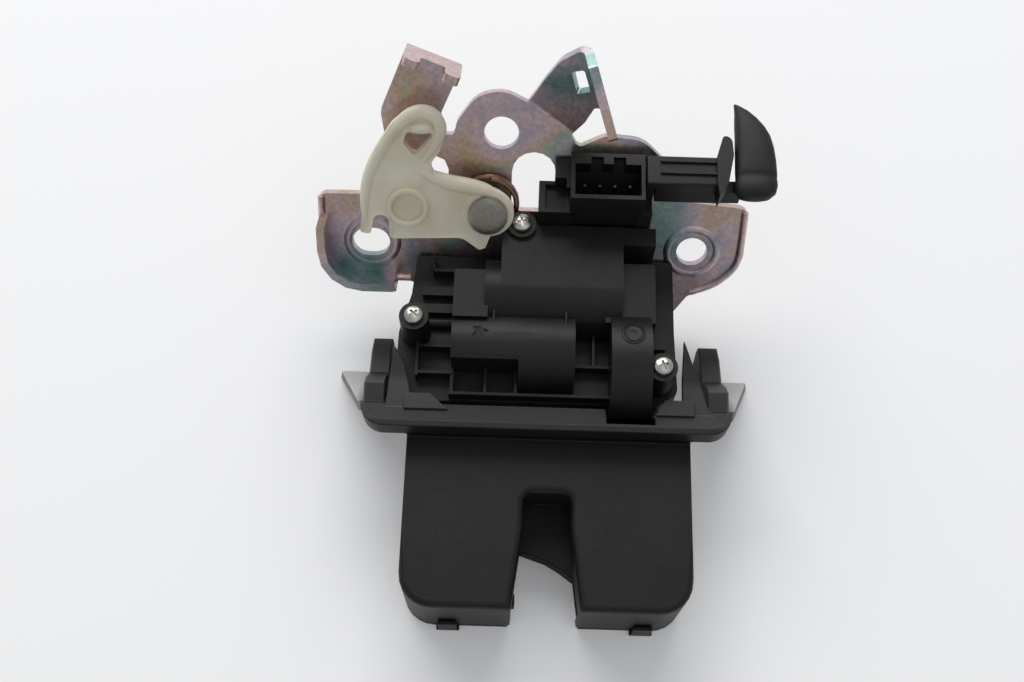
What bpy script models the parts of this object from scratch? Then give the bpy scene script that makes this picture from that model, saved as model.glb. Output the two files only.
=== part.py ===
"""Tailgate lock: a bent steel mounting plate, a rotary claw and pawl in a plastic mouth cover,
a motor and gear actuator in a plastic housing with a plug socket, and a nylon release lever.

Sizes are in millimetres and are turned into metres by MM. +Z points out of the lock's front,
+Y runs from the mouth towards the mounting plate, and the origin is on the mouth cover's flat back.
"""

import math

import bmesh
import bpy
from mathutils import Matrix, Vector

MM = 0.001
GAP = 0.3

# Mounting plate
SHEET = 2.5
SLOPE = math.radians(54)
BEND_RADIUS = 4.0
BASE_LOW = 2.3
BASE_TOP = BASE_LOW + SHEET
BASE_LEFT = -34.5
BASE_RIGHT = 36.5
BASE_END = -46.0
PLATE_Y = 37.4
PLATE_Z = 3.5
RIM_HEIGHT = 8.0
RIM_RADIUS = 3.0
SIDE_HOLE_R = 4.5
SIDE_HOLE_SLOT = 1.0
TOP_HOLE_R = 4.9
LOBE_R = 12.6

# Mouth cover
MOUTH_X = 1.0
MOUTH_HALF = 39.2
MOUTH_LOW = -52.0
MOUTH_FRONT = 27.5
MOUTH_WALL = 2.0
MOUTH_CORNER = 9.0
SLOT_HALF = 6.5
SLOT_FLARE = 9.3
SLOT_END = -20.0
TUNNEL_LOW = 12.6
TUNNEL_WALL = 1.8
FLANGE_T = 2.0
RIM_Y = -5.5
RIM_Z = 36.5
FOLD_Y = 3.4
FOLD_Z = 30.0
WING_Y = 23.4
FOLD_HALF = 51.7
RIM_HALF = FOLD_HALF - 3.1
WING_HALF = FOLD_HALF + 9.5
POST_OUT = FOLD_HALF - 1.1
POST_IN = POST_OUT - 5.7
WING_IN = POST_IN - GAP
COLLAR_TOP = 7.0

# Latch
LATCH_LOW = BASE_TOP + GAP
CLAW_T = 6.0
CLAW_X = -16.0
CLAW_Y = -22.0
CLAW_OPENING = math.radians(55)
CLAW_RIM_R = 31.0
PAWL_X = 20.0
PAWL_Y = -34.0
PAWL_LIFT = math.radians(14)
PIN_R = 4.0
PIN_HEAD_R = 6.0
RUN = 0.1
BRIDGE_LOW = 14.6
BRIDGE_T = 2.0

# Actuator housing
TRAY_TOP = 21.0
COVER_LOW = TRAY_TOP + GAP
COVER_TOP = 40.0
COVER_WALL = 1.8
MOTOR_Z = 26.5
MOTOR_R = 8.6
MOTOR_LEFT = -15.5
MOTOR_RIGHT = 14.0
PINION_TEETH = 13
GEAR_TEETH = 30
GEAR_LEFT = 19.7
GEAR_WIDTH = 6.8
GEAR_CLEARANCE = 1.9
MESH_GAP = 0.19
DRUM_LEFT = 17.5
DRUM_RIGHT = 28.8
DRUM_Y = 17.0
DRUM_R = 18.0
GEAR_R = DRUM_R - COVER_WALL - GEAR_CLEARANCE
GEAR_MODULE = GEAR_R / (GEAR_TEETH / 2 + 0.9)
TRAY_FLOOR = 1.5
DRUM_Z = BASE_TOP + GAP + TRAY_FLOOR + GEAR_R + 1.1
CENTRES = GEAR_MODULE * (PINION_TEETH + GEAR_TEETH) / 2 + MESH_GAP
MOTOR_Y = DRUM_Y + math.sqrt(CENTRES ** 2 - (MOTOR_Z - DRUM_Z) ** 2)
AXLE_R = 2.2
ROOF_R = 11.0
LOWER_R = 12.4
CHOKE_Y = MOTOR_Y - 14.2
CHOKE_Z = 24.5
CHOKE_CORE = 2.8
CHOKE_R = 4.2
CHOKE_LEFT = -23.0
SOCKET_TOP = 54.0
PLATE_GAP = 1.2

# Release lever on the mounting plate, in the plate's own frame
LEVER_X = -17.8
LEVER_S = 43.3
LEVER_LOW = 6.0
LEVER_T = 3.2
RIVET_R = 5.6

BLACK = ("black_plastic", (0.022, 0.021, 0.020), 0.0, 0.52)
SATIN = ("satin_plastic", (0.030, 0.030, 0.034), 0.0, 0.46)
ZINC = ("yellow_zinc", (0.42, 0.36, 0.35), 1.0, 0.38)
STEEL = ("bright_steel", (0.62, 0.61, 0.58), 1.0, 0.30)
NYLON = ("natural_nylon", (0.72, 0.69, 0.57), 0.0, 0.45)
RUBBER = ("soft_rubber", (0.035, 0.036, 0.038), 0.0, 0.55)
COPPER = ("copper_wire", (0.50, 0.33, 0.24), 1.0, 0.35)
BRASS = ("tinned_brass", (0.70, 0.62, 0.42), 1.0, 0.30)
COATING = ("claw_coating", (0.02, 0.02, 0.02), 0.0, 0.6)


def clear_scene():
    for item in list(bpy.data.objects):
        bpy.data.objects.remove(item, do_unlink=True)


def collection(name):
    made = bpy.data.collections.new(name)
    bpy.context.scene.collection.children.link(made)
    return made


clear_scene()
LOCK = collection("tailgate_lock")


def finish_of(kind):
    """The Principled material for one of the finishes above."""
    name, colour, metallic, roughness = kind
    found = bpy.data.materials.get(name)
    if found:
        return found
    made = bpy.data.materials.new(name)
    made.use_nodes = True
    shader = made.node_tree.nodes["Principled BSDF"]
    shader.inputs["Base Color"].default_value = (*colour, 1)
    shader.inputs["Metallic"].default_value = metallic
    shader.inputs["Roughness"].default_value = roughness
    return made


def add_object(name, mesh, kind):
    made = bpy.data.objects.new(name, mesh)
    LOCK.objects.link(made)
    made.data.materials.clear()
    made.data.materials.append(finish_of(kind))
    return made


def baked(source, name, kind):
    """A mesh object from a curve or a modified mesh, welded, in the source's place."""
    bpy.context.view_layer.update()
    graph = bpy.context.evaluated_depsgraph_get()
    mesh = bpy.data.meshes.new_from_object(source.evaluated_get(graph))
    bm = bmesh.new()
    bm.from_mesh(mesh)
    bmesh.ops.remove_doubles(bm, verts=bm.verts, dist=0.00001)
    bmesh.ops.recalc_face_normals(bm, faces=bm.faces)
    bm.to_mesh(mesh)
    bm.free()
    place = source.matrix_world.copy()
    bpy.data.objects.remove(source, do_unlink=True)
    made = add_object(name, mesh, kind)
    made.matrix_world = place
    return made


def rounded(corners, steps=4):
    """Outline points with the corners that carry a radius turned into arcs."""
    out = []
    count = len(corners)
    for i, corner in enumerate(corners):
        here = Vector(corner[:2])
        radius = corner[2] if len(corner) > 2 else 0
        if not radius:
            out.append(here)
            continue
        before = (Vector(corners[i - 1][:2]) - here).normalized()
        after = (Vector(corners[(i + 1) % count][:2]) - here).normalized()
        half = before.angle(after) / 2
        reach = radius / math.tan(half)
        centre = here + (before + after).normalized() * radius / math.sin(half)
        start = here + before * reach - centre
        turn = math.pi - 2 * half
        if start.cross(here + after * reach - centre) < 0:
            turn = -turn
        for k in range(steps + 1):
            out.append(centre + Matrix.Rotation(turn * k / steps, 2) @ start)
    return out


def circle(x, y, radius, steps=32):
    turn = 2 * math.pi / steps
    return [Vector((x + radius * math.cos(turn * k), y + radius * math.sin(turn * k))) for k in range(steps)]


def oblong(x, y, radius, stretch, steps=16):
    """A slot outline: two half circles pulled apart along X."""
    turn = math.pi / steps
    right = [(x + stretch + radius * math.cos(turn * k - math.pi / 2),
              y + radius * math.sin(turn * k - math.pi / 2)) for k in range(steps + 1)]
    left = [(x - stretch + radius * math.cos(turn * k + math.pi / 2),
             y + radius * math.sin(turn * k + math.pi / 2)) for k in range(steps + 1)]
    return [Vector(p) for p in right + left]


AXES = {
    "Z": Matrix.Identity(4),
    "X": Matrix(((0, 0, 1, 0), (1, 0, 0, 0), (0, 1, 0, 0), (0, 0, 0, 1))),
}


def plate(name, loops, low, high, kind, axis="Z"):
    """A flat piece from one outline and its holes. On axis X the outline is in Y and Z."""
    curve = bpy.data.curves.new(name, "CURVE")
    curve.dimensions = "2D"
    curve.fill_mode = "BOTH"
    curve.extrude = (high - low) / 2 * MM
    for loop in loops:
        spline = curve.splines.new("POLY")
        spline.points.add(len(loop) - 1)
        for point, place in zip(spline.points, loop):
            point.co = (place[0] * MM, place[1] * MM, 0, 1)
        spline.use_cyclic_u = True
    source = bpy.data.objects.new(name + "_outline", curve)
    LOCK.objects.link(source)
    made = baked(source, name, kind)
    made.data.transform(AXES[axis] @ Matrix.Translation((0, 0, (high + low) / 2 * MM)))
    return tidy_flats(made)


def rod(name, x, y, radius, low, high, kind, axis="Z", steps=32):
    """A round bar between low and high along its axis. On axis X, x and y are Y and Z."""
    bpy.ops.mesh.primitive_cylinder_add(vertices=steps, radius=radius * MM, depth=(high - low) * MM)
    made = bpy.context.active_object
    made.data.transform(AXES[axis] @ Matrix.Translation((x * MM, y * MM, (high + low) / 2 * MM)))
    return adopt(made, name, kind)


def block(name, low, high, kind, edge=0.0):
    """A box between two corners, with its edges rounded if an edge radius is given."""
    bpy.ops.mesh.primitive_cube_add(size=1)
    made = bpy.context.active_object
    size = Vector(high) - Vector(low)
    middle = (Vector(high) + Vector(low)) / 2
    made.data.transform(Matrix.Translation(middle * MM) @ Matrix.Diagonal((*(size * MM), 1)))
    if edge:
        bm = bmesh.new()
        bm.from_mesh(made.data)
        bmesh.ops.bevel(bm, geom=bm.edges[:], offset=edge * MM, segments=2, profile=0.5, affect="EDGES")
        bm.to_mesh(made.data)
        bm.free()
    return adopt(made, name, kind)


def adopt(made, name, kind):
    made.name = name
    made.data.name = name
    for owner in list(made.users_collection):
        owner.objects.unlink(made)
    LOCK.objects.link(made)
    made.data.materials.clear()
    made.data.materials.append(finish_of(kind))
    return made


def combine(target, tool, operation):
    """A Boolean, applied. The tool is used up."""
    step = target.modifiers.new("step", "BOOLEAN")
    step.operation = operation
    step.object = tool
    bpy.context.view_layer.update()
    graph = bpy.context.evaluated_depsgraph_get()
    mesh = bpy.data.meshes.new_from_object(target.evaluated_get(graph))
    target.modifiers.remove(step)
    target.data = mesh
    bpy.data.objects.remove(tool, do_unlink=True)
    return target


def tidy_flats(made):
    """Merges the triangles of each flat side into large faces."""
    bm = bmesh.new()
    bm.from_mesh(made.data)
    bmesh.ops.dissolve_limit(bm, angle_limit=0.0005, verts=bm.verts, edges=bm.edges)
    bm.to_mesh(made.data)
    bm.free()
    return made


def cut(target, *tools):
    for tool in tools:
        combine(target, tool, "DIFFERENCE")
    return target


def join(target, *tools):
    for tool in tools:
        combine(target, tool, "UNION")
    return target


def smooth(made, angle=35):
    made.data.shade_smooth()
    made.data.set_sharp_from_angle(angle=math.radians(angle))
    return made


def wire(name, points, radius, kind, sides=2):
    """A round wire along a list of points."""
    curve = bpy.data.curves.new(name, "CURVE")
    curve.dimensions = "3D"
    curve.bevel_depth = radius * MM
    curve.bevel_resolution = sides
    curve.use_fill_caps = True
    spline = curve.splines.new("POLY")
    spline.points.add(len(points) - 1)
    for point, place in zip(spline.points, points):
        point.co = (*(Vector(place) * MM), 1)
    source = bpy.data.objects.new(name + "_path", curve)
    LOCK.objects.link(source)
    return baked(source, name, kind)


def coil_spring(name, x, y, low, radius, wire_r, turns, legs, kind, steps=20):
    """A torsion spring round a pin: turns of wire with a straight leg at each end."""
    points = []
    count = int(turns * steps)
    for k in range(count + 1):
        turn = 2 * math.pi * k / steps
        rise = low + wire_r + (2 * wire_r + 0.12) * k / steps
        points.append((x + radius * math.cos(turn), y + radius * math.sin(turn), rise))
    first, last = Vector(points[0]), Vector(points[-1])
    points.insert(0, first + Vector((0, -legs[0], 0)))
    end_turn = 2 * math.pi * count / steps
    points.append(last + Vector((-math.sin(end_turn), math.cos(end_turn), 0)) * legs[1])
    return wire(name, points, wire_r, kind)


# The mounting plate's own frame: local Y runs up the plate and local Z out of its front face
PLATE_FRAME = (Matrix.Translation((0, PLATE_Y * MM, PLATE_Z * MM)) @ Matrix.Rotation(SLOPE, 4, "X"))
plate_frame = bpy.data.objects.new("plate_frame", None)
LOCK.objects.link(plate_frame)
plate_frame.matrix_world = PLATE_FRAME


def on_plate(made):
    """Hangs a piece modelled in the plate's own frame on that frame."""
    made.parent = plate_frame
    made.matrix_parent_inverse = Matrix.Identity(4)
    bpy.context.view_layer.update()
    return made


def fold(made, line_point, line_direction, angle, radius, steps=5):
    """Bends what lies to the left of a line on a flat blank, towards its front face at height 0."""
    along = Vector((*line_direction, 0)).normalized()
    outward = Vector((-along.y, along.x, 0))
    origin = Vector((*line_point, 0)) * MM
    inner = radius * MM
    reach = inner * angle
    bm = bmesh.new()
    bm.from_mesh(made.data)
    for k in range(steps + 1):
        cut_at = origin + outward * reach * k / steps
        everything = bm.verts[:] + bm.edges[:] + bm.faces[:]
        bmesh.ops.bisect_plane(bm, geom=everything, dist=1e-8, plane_co=cut_at, plane_no=outward)
    for vertex in bm.verts:
        offset = vertex.co - origin
        distance = offset.dot(outward)
        if distance <= 1e-9:
            continue
        height = vertex.co.z
        turned = min(distance, reach) / inner
        past = max(distance - reach, 0)
        flat = (inner - height) * math.sin(turned) + past * math.cos(turned)
        rise = inner - (inner - height) * math.cos(turned) + past * math.sin(turned)
        sideways = along * offset.dot(along)
        vertex.co = origin + sideways + outward * flat + Vector((0, 0, rise))
    bmesh.ops.recalc_face_normals(bm, faces=bm.faces)
    bm.to_mesh(made.data)
    bm.free()
    return made


def base_s(y):
    """Where a point of the flat base lies on the unbent blank."""
    corner = (BASE_TOP - PLATE_Z) / math.sin(SLOPE)
    lost = BEND_RADIUS * math.tan(SLOPE / 2)
    start = corner + lost
    arc_end_y = PLATE_Y + corner * math.cos(SLOPE) - lost
    return start - BEND_RADIUS * SLOPE - (arc_end_y - y)


BEND_S = (BASE_TOP - PLATE_Z) / math.sin(SLOPE) + BEND_RADIUS * math.tan(SLOPE / 2)

def panel(name, corners, offset, kind):
    """A flat sheet from its four corners, thickened along an offset."""
    bm = bmesh.new()
    near = [bm.verts.new(Vector(corner) * MM) for corner in corners]
    far = [bm.verts.new((Vector(corner) + Vector(offset)) * MM) for corner in corners]
    bm.faces.new(near)
    bm.faces.new(far[::-1])
    for i in range(4):
        after = (i + 1) % 4
        bm.faces.new((near[after], near[i], far[i], far[after]))
    bmesh.ops.recalc_face_normals(bm, faces=bm.faces)
    mesh = bpy.data.meshes.new(name)
    bm.to_mesh(mesh)
    bm.free()
    return add_object(name, mesh, kind)


def polar(radius, degrees):
    turn = math.radians(degrees)
    return (radius * math.cos(turn), radius * math.sin(turn))


def arc_points(y, z, radius, start, end, steps=18):
    """Points on an arc between two angles in degrees."""
    out = []
    for k in range(steps + 1):
        turn = math.radians(start + (end - start) * k / steps)
        out.append((y + radius * math.cos(turn), z + radius * math.sin(turn)))
    return out


def slope_point(s, n):
    """Y and Z of a point that is s up the mounting plate and n in front of it."""
    return (PLATE_Y + s * math.cos(SLOPE) - n * math.sin(SLOPE),
            PLATE_Z + s * math.sin(SLOPE) + n * math.cos(SLOPE))


def behind_plate(clearance):
    """A cutter that takes away whatever comes nearer to the mounting plate than a clearance."""
    low, high = slope_point(-40, clearance), slope_point(120, clearance)
    return plate("behind_plate", [[low, high, (260, high[1]), (260, low[1])]], -120, 120, BLACK, "X")


# Outlines in the mounting plate's own frame are across and up the plate
WING_LEFT = [(-39.5, 16.0, 2.5), (-67.1, 16.0, 13.0), (-67.1, 43.8, 3.0)]
WING_RIGHT = [(57.1, 42.6, 3.0), (57.1, 25.0, 9.0), (50.5, 17.0, 9.0), (42.0, 13.5, 3.0)]
EAR = [(-52.5, 43.9, 3.0), (-51.0, 55.0, 6.0), (-47.2, 62.2, 1.5), (-48.3, 69.5, 6.0), (-41.7, 85.7), (-37.0, 98.4, 1.8),
       (-32.9, 96.9, 1.8), (-34.7, 92.2, 1.0), (-28.2, 89.8, 1.0), (-26.4, 94.5, 1.8), (-22.2, 92.9, 1.8), (-26.9, 80.2),
       (-31.6, 69.0, 4.0), (-30.6, 63.0, 0.8)]
EAR_FOLD = ((-41.7, 85.7), (0.937, -0.349))
LOBE = [(-27.9, 63.0, 0.8), (-27.0, 67.0, 5.0), (-21.5, 75.0, 9.0), (-14.0, 76.3, 8.0), (-7.5, 73.1)]
FAN = [(-3.0, 81.6, 10.0), (1.6, 89.4, 8.0), (6.6, 93.6, 1.5), (15.2, 95.2, 1.5), (22.1, 71.4, 1.5), (15.6, 69.8, 0.6),
       (14.0, 75.8, 0.6), (11.2, 75.0, 0.6), (8.6, 69.2, 2.0), (4.9, 63.9, 0.8)]
FAN_FOLD = ((-7.5, 73.1), (0.810, -0.587))
FAN_LIP_FOLD = ((7.4, 93.2), (0.2425, -0.9701))
SHOULDER = [(7.0, 60.2, 1.6), (14.2, 63.9, 5.0), (25.0, 63.0, 9.0), (34.5, 54.0, 8.0), (37.5, 44.6, 3.0)]
CROWN_NOTCH = [(-11.4, 40.0, 3.0), (1.0, 40.0, 3.0), (1.0, 58.4, 6.1), (-11.4, 58.4, 6.1)]
EAR_WINDOW = [(-39.5, 48.0, 2.0), (-29.4, 48.0, 2.0), (-29.4, 56.5, 4.0), (-39.5, 56.5, 4.0)]
FAN_HOLE = [(6.2, 79.0, 0.6), (10.0, 80.6, 0.6), (8.2, 87.8, 0.6), (4.8, 86.4, 0.6)]


def base_s(y):
    """Where a point of the flat base lies on the unbent sheet."""
    corner = (BASE_TOP - PLATE_Z) / math.sin(SLOPE)
    lost = BEND_RADIUS * math.tan(SLOPE / 2)
    arc_end_y = PLATE_Y + corner * math.cos(SLOPE) - lost
    return corner + lost - BEND_RADIUS * SLOPE - (arc_end_y - y)


BEND_S = (BASE_TOP - PLATE_Z) / math.sin(SLOPE) + BEND_RADIUS * math.tan(SLOPE / 2)


def sheet(name, loops):
    """A flat surface with holes, to be folded and then thickened."""
    curve = bpy.data.curves.new(name, "CURVE")
    curve.dimensions = "2D"
    curve.fill_mode = "BOTH"
    for loop in loops:
        spline = curve.splines.new("POLY")
        spline.points.add(len(loop) - 1)
        for point, place in zip(spline.points, loop):
            point.co = (place[0] * MM, place[1] * MM, 0, 1)
        spline.use_cyclic_u = True
    source = bpy.data.objects.new(name + "_outline", curve)
    LOCK.objects.link(source)
    return baked(source, name, ZINC)


def thicken(made):
    """Gives a folded sheet its thickness, away from its front."""
    for face in made.data.polygons:
        if face.normal.z < 0 and abs(face.center.z) < 1e-7:
            made.data.flip_normals()
            break
    step = made.modifiers.new("thickness", "SOLIDIFY")
    step.thickness = SHEET * MM
    step.offset = -1
    step.use_even_offset = True
    return tidy_flats(baked(made, "mounting_plate", ZINC))


def fold(made, line, angle, radius, inside, steps=5):
    """Bends what lies to the left of a line towards the front, for the points inside a region."""
    along = Vector((*line[1], 0)).normalized()
    outward = Vector((-along.y, along.x, 0))
    origin = Vector((*line[0], 0)) * MM
    inner = radius * MM
    reach = inner * angle
    bm = bmesh.new()
    bm.from_mesh(made.data)
    for k in range(steps + 1):
        near = [face for face in bm.faces if any(inside(v.co.x / MM, v.co.y / MM) for v in face.verts)]
        parts = list({part for face in near for part in (*face.verts, *face.edges, face)})
        bmesh.ops.bisect_plane(bm, geom=parts, dist=1e-6, plane_co=origin + outward * reach * k / steps,
                               plane_no=outward)
    bmesh.ops.dissolve_degenerate(bm, dist=5e-6, edges=bm.edges)
    bmesh.ops.triangulate(bm, faces=bm.faces)
    for vertex in bm.verts:
        offset = vertex.co - origin
        distance = offset.dot(outward)
        if distance <= 1e-7 or not inside(vertex.co.x / MM, vertex.co.y / MM):
            continue
        height = vertex.co.z
        turned = min(distance, reach) / inner
        past = max(distance - reach, 0)
        flat = (inner - height) * math.sin(turned) + past * math.cos(turned)
        rise = inner - (inner - height) * math.cos(turned) + past * math.sin(turned)
        vertex.co = origin + along * offset.dot(along) + outward * flat + Vector((0, 0, rise))
    bmesh.ops.recalc_face_normals(bm, faces=bm.faces)
    bm.to_mesh(made.data)
    bm.free()
    return made


def beside(path, distance):
    """A line that runs a distance to the right of a path."""
    out = []
    for i, here in enumerate(path):
        along = path[min(i + 1, len(path) - 1)] - path[max(i - 1, 0)]
        out.append(here + Vector((along.y, -along.x)).normalized() * distance)
    return out


def mounting_plate():
    """One stamping: a slotted base, a sloped plate with two rimmed wings, an ear and a fan."""
    low = base_s(BASE_END)
    outline = [
        (BASE_LEFT, low, 4), (BASE_LEFT, base_s(0), 3), (-37.8, base_s(4), 3), (-37.8, 7.0, 4),
        *WING_LEFT, *EAR, *LOBE, *FAN, *SHOULDER, *WING_RIGHT,
        (37.8, 7.0, 4), (37.8, base_s(4), 3), (BASE_RIGHT, base_s(0), 3), (BASE_RIGHT, low, 4),
        (MOUTH_X + SLOT_FLARE + 1, low, 2), (MOUTH_X + SLOT_HALF + 1.2, base_s(-34), 3),
        (MOUTH_X + SLOT_HALF + 1.2, base_s(SLOT_END + 1), 4), (MOUTH_X - SLOT_HALF - 1.2, base_s(SLOT_END + 1), 4),
        (MOUTH_X - SLOT_HALF - 1.2, base_s(-34), 3), (MOUTH_X - SLOT_FLARE - 1, low, 2),
    ]
    holes = [
        oblong(-52.0, 28.6, SIDE_HOLE_R, SIDE_HOLE_SLOT, 10), circle(41.9, 28.4, SIDE_HOLE_R, 24),
        circle(-14.6, 63.9, TOP_HOLE_R, 24), circle(LEVER_X, LEVER_S, 3.0 + RUN, 24),
        rounded(CROWN_NOTCH), rounded(EAR_WINDOW, 2), rounded(FAN_HOLE, 2),
        circle(CLAW_X, base_s(CLAW_Y), PIN_R + RUN, 24), circle(PAWL_X, base_s(PAWL_Y), PIN_R + RUN, 24),
        circle(-27.0, base_s(30), 2.6, 16), circle(27.0, base_s(30), 2.6, 16),
    ]
    made = sheet("mounting_plate", [rounded(outline), *holes])
    fold(made, EAR_FOLD, math.radians(88), 1.2, lambda x, s: x < -20 and s > 78)
    fold(made, FAN_LIP_FOLD, math.radians(66), 1.2, lambda x, s: s > 66.2 and x > 2)
    fold(made, FAN_FOLD, math.radians(26), 3.0, lambda x, s: s > 64.35 or (-9 < x < 8.6 and s > 62.4))
    fold(made, ((0, BEND_S), (-1, 0)), SLOPE, BEND_RADIUS, lambda x, s: True, 6)
    made = thicken(made)
    for wing in (WING_LEFT, WING_RIGHT):
        path = rounded(wing)[3:-3]
        rim = beside(path, 0.3) + beside(path, SHEET + 0.1)[::-1]
        join(made, plate("rim", [rim], -0.7, RIM_HEIGHT, ZINC))
    return smooth(on_plate(made))


def slot_outline(half, flare, end, low=-70.0):
    """The mouth's slot: straight at its closed end and flared towards the entry."""
    return [(MOUTH_X - half, end, 3.0), (MOUTH_X - half, -30.0, 14.0), (MOUTH_X - flare, MOUTH_LOW), (MOUTH_X - flare, low),
            (MOUTH_X + flare, low), (MOUTH_X + flare, MOUTH_LOW), (MOUTH_X + half, -30.0, 14.0), (MOUTH_X + half, end, 3.0)]


def mouth_outline(inset, top):
    left, right = MOUTH_X - MOUTH_HALF + inset, MOUTH_X + MOUTH_HALF - inset
    corner = MOUTH_CORNER - inset
    return [(left, top), (left, MOUTH_LOW + inset, corner), (right, MOUTH_LOW + inset, corner), (right, top)]


def mouth_cover():
    """The black moulding over the latch: a box with the slot, and the flange with its wings behind it."""
    floor = 2.0 + GAP
    body = plate("mouth_cover", [rounded(mouth_outline(0, -3.4), 6)], floor, MOUTH_FRONT, BLACK)
    cut(body, plate("hollow", [rounded(mouth_outline(MOUTH_WALL, 5.0), 6)], -5, MOUTH_FRONT - MOUTH_WALL, BLACK))
    wall = slot_outline(SLOT_HALF + TUNNEL_WALL, SLOT_FLARE + TUNNEL_WALL, SLOT_END + TUNNEL_WALL, MOUTH_LOW + 1)
    join(body, plate("tunnel", [rounded(wall)], TUNNEL_LOW, MOUTH_FRONT - 1, BLACK))
    cut(body, plate("slot", [rounded(slot_outline(SLOT_HALF, SLOT_FLARE, SLOT_END))], -5, 40, BLACK))
    low = (0, -0.588 * FLANGE_T, -0.809 * FLANGE_T)
    strip = panel("strip", [(-54, RIM_Y - 3.5, RIM_Z + 2.556), (54, RIM_Y - 3.5, RIM_Z + 2.556), (54, FOLD_Y, FOLD_Z),
                            (-54, FOLD_Y, FOLD_Z)], low, BLACK)
    rim = [(-RIM_HALF, RIM_Y, 6.0), (RIM_HALF, RIM_Y, 6.0), (FOLD_HALF, FOLD_Y + 3), (-FOLD_HALF, FOLD_Y + 3)]
    outside = plate("outside", [rounded([(-90, -60), (90, -60), (90, 60), (-90, 60)]), rounded(rim, 6)], -5, 60, BLACK)
    cut(strip, outside)
    lip_in = [(FOLD_HALF - 2.5, FOLD_Y - 2), (RIM_HALF - 2, RIM_Y + 2, 4.0), (-RIM_HALF + 2, RIM_Y + 2, 4.0),
              (-FOLD_HALF + 2.5, FOLD_Y - 2)]
    lip_out = [(-FOLD_HALF + 0.7, FOLD_Y - 2), (-RIM_HALF, RIM_Y, 6.0), (RIM_HALF, RIM_Y, 6.0), (FOLD_HALF - 0.7, FOLD_Y - 2)]
    lip = plate("lip", [rounded(lip_out, 6) + rounded(lip_in, 6)], RIM_Z - 6.5, RIM_Z + 0.4, BLACK)
    join(strip, lip)
    join(body, strip, block("brow", (MOUTH_X - MOUTH_HALF + 0.4, RIM_Y + 0.2, MOUTH_FRONT - 1.6),
                            (MOUTH_X + MOUTH_HALF - 0.4, RIM_Y + 2.1, RIM_Z - 1.2), BLACK))
    for side in (-1, 1):
        wing = [(side * (FOLD_HALF - 0.05), FOLD_Y - 0.2, FOLD_Z + 0.1), (side * WING_IN, FOLD_Y - 0.2, FOLD_Z + 0.1),
                (side * WING_IN, WING_Y, 0), (side * WING_HALF, WING_Y, 0)]
        join(body, panel("wing", wing, (0, -2.4, 0), BLACK))
        post = [(2.6, 29.2), (9.0, 30.6), (12.0, 27.0), (16.0, 19.5), (23.5, 17.5), (29.0, 13.5), (29.2, 9.0), (27.4, 0),
                (22.6, 0), (22.6, 1.0)]
        edges = sorted((side * POST_IN, side * POST_OUT))
        join(body, plate("post", [post], *edges, SATIN, "X"))
    left_gusset = [(-44.4, -1.0), (-43.6, 12.0, 8), (-42.6, 19.7), (-39.9, 15.6, 6), (-37.6, 6.0, 4), (-37.4, -1.0)]
    right_gusset = [(37.6, -1.0), (37.7, 12.0), (38.5, 24.0), (43.2, 9.0, 5), (WING_IN, 4.0, 4), (POST_OUT - 1, -1.0)]
    join(body, plate("gusset", [rounded(left_gusset)], 29.0, 31.2, BLACK))
    join(body, plate("gusset", [rounded(right_gusset)], 29.0, 31.2, BLACK))
    low_left = [(-39.2, 1.0), (-39.2, 5.6), (-32.1, 5.6), (-26.9, 1.0)]
    low_right = [(29.9, 1.0), (32.7, 5.6), (40.7, 5.6), (40.7, 1.0)]
    join(body, plate("low_wall", [low_left], 26.0, 32.6, BLACK), plate("low_wall", [low_right], 26.0, 32.6, BLACK))
    cut(body, block("drum_relief", (DRUM_LEFT - 1, DRUM_Y - DRUM_R - 1.2, 20), (DRUM_RIGHT + 1, 8, 60), BLACK))
    return smooth(body)


def mouth_back():
    """The flat cover on the back of the mouth, with two snap hooks over its lower edge."""
    back = plate("mouth_back", [rounded(mouth_outline(0, 4.0), 6)], 0, 2.0, BLACK)
    for x in (-25.5, 28.5):
        join(back, block("hook", (x - 3.2, MOUTH_LOW - 1.4, 0.0), (x + 3.2, MOUTH_LOW + 3, 1.6), BLACK))
        join(back, block("hook", (x - 2.6, MOUTH_LOW - 1.4, 1.0), (x + 2.6, MOUTH_LOW - GAP, 9.0), BLACK))
    cut(back, plate("slot", [rounded(slot_outline(SLOT_HALF + 0.6, SLOT_FLARE + 0.6, SLOT_END + 0.6))], -5, 12, BLACK))
    return smooth(back)


def claw():
    """The rotary claw, drawn closed about its pin and turned open."""
    outline = [(20.43, -8.05), (23.6, -5.7), (26.4, -7.6)]
    outline += [polar(26.8, angle) for angle in (-20, -27, -34)]
    outline += [(14.0, -17.5), (2.0, -14.5), (-8.0, -10.0), (-12.0, -2.0), (-11.5, 6.0), (-7.0, 13.0), (-1.0, 20.0)]
    outline += [polar(CLAW_RIM_R - 6.3 + 0.04 * (76 - angle), angle) for angle in (76, 70, 62, 58.5)]
    for angle in (54, 46, 38, 30, 24, 18.5):
        outline.append(polar(min(CLAW_RIM_R, 27.2 / math.sin(math.radians(angle))), angle))
    outline += [polar(26.5, 18.5), (20.8, 6.45)]
    outline += arc_points(17.0, -3.5, 5.7, 127, 307, 14)
    made = plate("claw", [outline, circle(0, 0, PIN_R + RUN, 24)], LATCH_LOW, LATCH_LOW + CLAW_T, COATING)
    made.data.transform(Matrix.Rotation(-CLAW_OPENING, 4, "Z"))
    made.location = (CLAW_X * MM, CLAW_Y * MM, 0)
    return smooth(made)


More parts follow.
